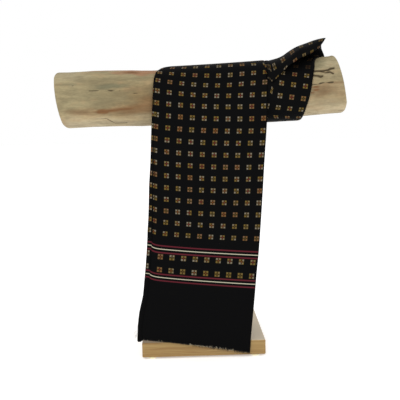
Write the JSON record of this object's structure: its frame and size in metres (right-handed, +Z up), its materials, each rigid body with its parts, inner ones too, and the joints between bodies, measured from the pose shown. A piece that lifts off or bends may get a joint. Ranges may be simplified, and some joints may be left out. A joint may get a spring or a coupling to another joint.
{
  "type": "silk scarf on log stand",
  "caption": "Folded dark silk scarf with a small foulard motif and a striped border, wound over a peeled log on a board.",
  "frame": {"origin": "centre of the whole object's footprint box, on the surface that the four feet stand on", "axes": "+X along the log towards the collar of cloth, +Y from the hanging front towards the back, +Z up"},
  "size_m": [0.4558, 0.2016, 0.5046],
  "materials": {
    "silk": "woven silk twill, soft low sheen, black ground with cream, gold and red figures",
    "fringe": "loose silk ends, black and cream",
    "log_wood": "peeled and dried, unvarnished, cracked and stained",
    "board_wood": "planed oak, matte oil",
    "foot_rubber": "clear soft pad"
  },
  "bodies": {
    "root": {"scarf_front": "silk", "scarf_turn": "silk", "scarf_wrap": "silk", "scarf_collar": "silk", "scarf_tail": "silk", "fringe_front": "fringe", "fringe_tail": "fringe", "log": "log_wood", "post": "board_wood", "board": "board_wood", "foot_front_left": "foot_rubber", "foot_front_right": "foot_rubber", "foot_back_left": "foot_rubber", "foot_back_right": "foot_rubber"}
  },
  "joints": []
}
